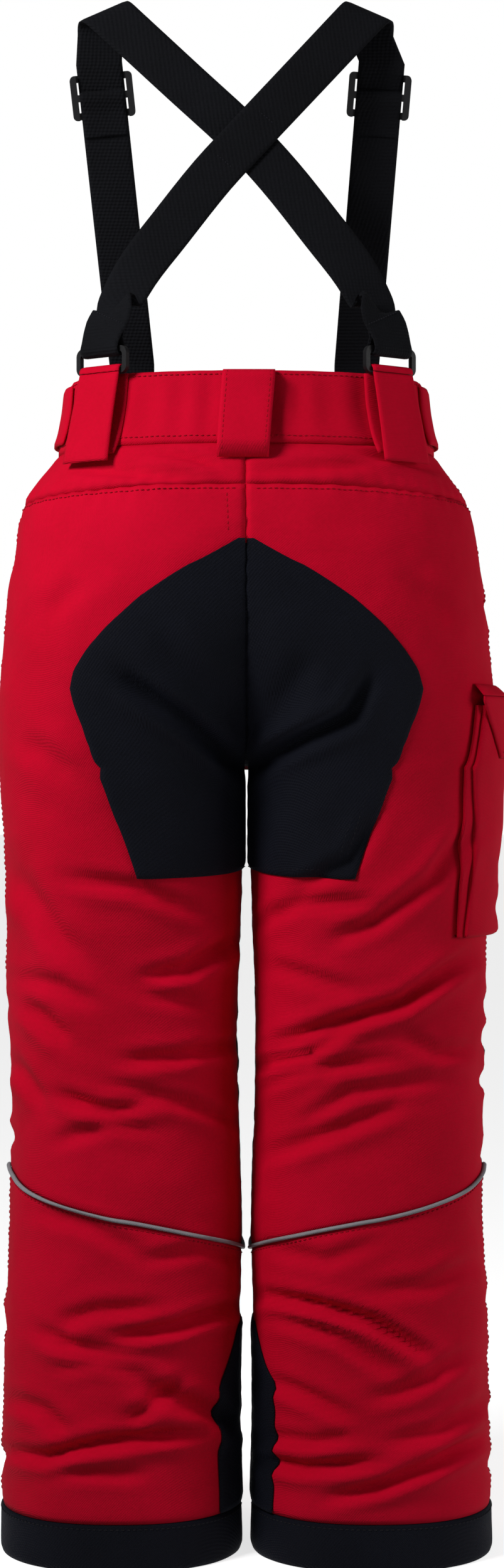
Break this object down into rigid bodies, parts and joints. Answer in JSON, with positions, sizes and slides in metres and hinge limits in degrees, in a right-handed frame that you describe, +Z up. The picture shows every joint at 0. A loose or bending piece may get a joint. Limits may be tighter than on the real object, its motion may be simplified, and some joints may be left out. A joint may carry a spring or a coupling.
{
  "type": "child's ski trousers with braces",
  "caption": "Padded ski trousers held up by crossed elastic braces, with seat and knee patches, cargo pocket, waist tabs, zip fly and bending knees.",
  "frame": {"origin": "middle of the outline at the level of the hems", "axes": "+Z up along the legs, +Y to the wearer's front, +X to the wearer's right"},
  "size_m": [0.3398, 0.2152, 1.0329],
  "materials": {
    "red_shell": "woven twill",
    "black_patch": "coarse woven",
    "dark_lining": "smooth woven",
    "black_webbing": "ribbed elastic",
    "reflective_tape": "reflective",
    "black_plastic": "moulded",
    "zip_metal": "satin"
  },
  "bodies": {
    "trousers": {"back_yoke_left": "red_shell", "back_yoke_right": "red_shell", "back_panel_left": "red_shell", "back_panel_right": "red_shell", "front_panel_left": "red_shell", "front_panel_right": "red_shell", "waistband_back": "red_shell", "waistband_front_left": "red_shell", "waistband_front_right": "red_shell", "belt_loop": "red_shell", "rear_tab_base_left": "red_shell", "rear_tab_base_right": "red_shell", "rear_tab_fold_left": "red_shell", "rear_tab_fold_right": "red_shell", "front_tab_left": "red_shell", "front_tab_right": "red_shell", "cargo_pocket": "red_shell", "cargo_flap_base": "red_shell", "seat_patch_left": "black_patch", "seat_patch_right": "black_patch", "lining_left": "dark_lining", "lining_right": "dark_lining", "fly_zip": "dark_lining", "hand_pocket_left_zip": "dark_lining", "hand_pocket_right_zip": "dark_lining", "brace_left": "black_webbing", "brace_right": "black_webbing"},
    "left_shin": {"knee_back_panel_left": "red_shell", "knee_patch_left": "black_patch", "calf_panel_left": "red_shell", "shin_panel_left": "red_shell", "reflective_piping_left": "reflective_tape", "hem_band_left": "black_patch", "snow_gaiter_left": "dark_lining", "ankle_guard_left": "black_patch"},
    "waist_adjuster_left": {"waist_adjuster_left": "red_shell"},
    "rear_tab_leaf_left": {"rear_tab_leaf_left": "red_shell"},
    "ring_left": {"ring_left": "black_plastic"},
    "slider_left": {"slider_left": "black_plastic"},
    "right_shin": {"knee_back_panel_right": "red_shell", "knee_patch_right": "black_patch", "calf_panel_right": "red_shell", "shin_panel_right": "red_shell", "reflective_piping_right": "reflective_tape", "hem_band_right": "black_patch", "snow_gaiter_right": "dark_lining", "ankle_guard_right": "black_patch"},
    "waist_adjuster_right": {"waist_adjuster_right": "red_shell"},
    "rear_tab_leaf_right": {"rear_tab_leaf_right": "red_shell"},
    "ring_right": {"ring_right": "black_plastic"},
    "slider_right": {"slider_right": "black_plastic"},
    "fly_slider": {"fly_zip_slider": "zip_metal"},
    "fly_puller": {"fly_zip_puller": "zip_metal"},
    "hand_pocket_left_slider": {"hand_pocket_left_zip_slider": "zip_metal"},
    "hand_pocket_left_puller": {"hand_pocket_left_zip_puller": "zip_metal"},
    "hand_pocket_right_slider": {"hand_pocket_right_zip_slider": "zip_metal"},
    "hand_pocket_right_puller": {"hand_pocket_right_zip_puller": "zip_metal"},
    "cargo_flap": {"cargo_flap": "red_shell"},
    "closure_tab": {"closure_tab": "red_shell", "snap_cap": "black_plastic"}
  },
  "joints": [
    {"name": "knee_left", "type": "hinge", "parent": "trousers", "child": "left_shin", "pos_m": [-0.08224, 0.007, 0.32], "axis": [-1, 0, 0], "range_deg": [0, 60], "deforming": ["knee_back_panel_left", "knee_patch_left"]},
    {"name": "waist_adjuster_left", "type": "hinge", "parent": "trousers", "child": "waist_adjuster_left", "pos_m": [-0.11718, -0.02486, 0.75245], "axis": [0.1623, 0.13, 0.9781], "range_deg": [0, 60]},
    {"name": "rear_tab_left", "type": "hinge", "parent": "trousers", "child": "rear_tab_leaf_left", "pos_m": [-0.09553, -0.05723, 0.776], "axis": [-0.7964, 0.6048, 0], "range_deg": [0, 60]},
    {"name": "ring_left", "type": "hinge", "parent": "trousers", "child": "ring_left", "pos_m": [-0.09333, -0.05432, 0.777], "axis": [-0.7964, 0.6048, 0], "range_deg": [-3.5, 3.5]},
    {"name": "slider_left", "type": "slide", "parent": "trousers", "child": "slider_left", "axis": [-0.0949, -0.3141, 0.9446], "range_m": [-0.12, 0.004]},
    {"name": "knee_right", "type": "hinge", "parent": "trousers", "child": "right_shin", "pos_m": [0.08224, 0.007, 0.32], "axis": [-1, 0, 0], "range_deg": [0, 60], "deforming": ["knee_back_panel_right", "knee_patch_right"]},
    {"name": "waist_adjuster_right", "type": "hinge", "parent": "trousers", "child": "waist_adjuster_right", "pos_m": [0.11718, -0.02486, 0.75245], "axis": [0.1623, -0.13, -0.9781], "range_deg": [0, 60]},
    {"name": "rear_tab_right", "type": "hinge", "parent": "trousers", "child": "rear_tab_leaf_right", "pos_m": [0.09553, -0.05723, 0.776], "axis": [-0.7964, -0.6048, 0], "range_deg": [0, 60]},
    {"name": "ring_right", "type": "hinge", "parent": "trousers", "child": "ring_right", "pos_m": [0.09333, -0.05432, 0.777], "axis": [-0.7964, -0.6048, 0], "range_deg": [-3.5, 3.5]},
    {"name": "slider_right", "type": "slide", "parent": "trousers", "child": "slider_right", "axis": [0.0708, -0.3147, 0.9466], "range_m": [-0.12, 0.004]},
    {"name": "fly_slider", "type": "slide", "parent": "trousers", "child": "fly_slider", "axis": [0, 0.042, -0.9991], "range_m": [0, 0.085]},
    {"name": "fly_puller", "type": "hinge", "parent": "fly_slider", "child": "fly_puller", "pos_m": [0, 0.09647, 0.71728], "axis": [1, 0, 0], "range_deg": [0, 140]},
    {"name": "hand_pocket_left_slider", "type": "slide", "parent": "trousers", "child": "hand_pocket_left_slider", "axis": [-0.5279, -0.1242, -0.8402], "range_m": [0, 0.074]},
    {"name": "hand_pocket_left_puller", "type": "hinge", "parent": "hand_pocket_left_slider", "child": "hand_pocket_left_puller", "pos_m": [-0.08955, 0.09368, 0.71737], "axis": [0.6686, 0.5492, -0.5014], "range_deg": [0, 120]},
    {"name": "hand_pocket_right_slider", "type": "slide", "parent": "trousers", "child": "hand_pocket_right_slider", "axis": [0.5279, -0.1242, -0.8402], "range_m": [0, 0.074]},
    {"name": "hand_pocket_right_puller", "type": "hinge", "parent": "hand_pocket_right_slider", "child": "hand_pocket_right_puller", "pos_m": [0.08955, 0.09368, 0.71737], "axis": [0.6686, -0.5492, 0.5014], "range_deg": [0, 120]},
    {"name": "cargo_flap", "type": "hinge", "parent": "trousers", "child": "cargo_flap", "pos_m": [0.17443, 0.007, 0.56629], "axis": [0, -1, 0], "range_deg": [0, 100]},
    {"name": "closure_tab", "type": "hinge", "parent": "trousers", "child": "closure_tab", "pos_m": [-0.02162, 0.09054, 0.75247], "axis": [0.0448, -0.2539, 0.9662], "range_deg": [0, 80]}
  ]
}
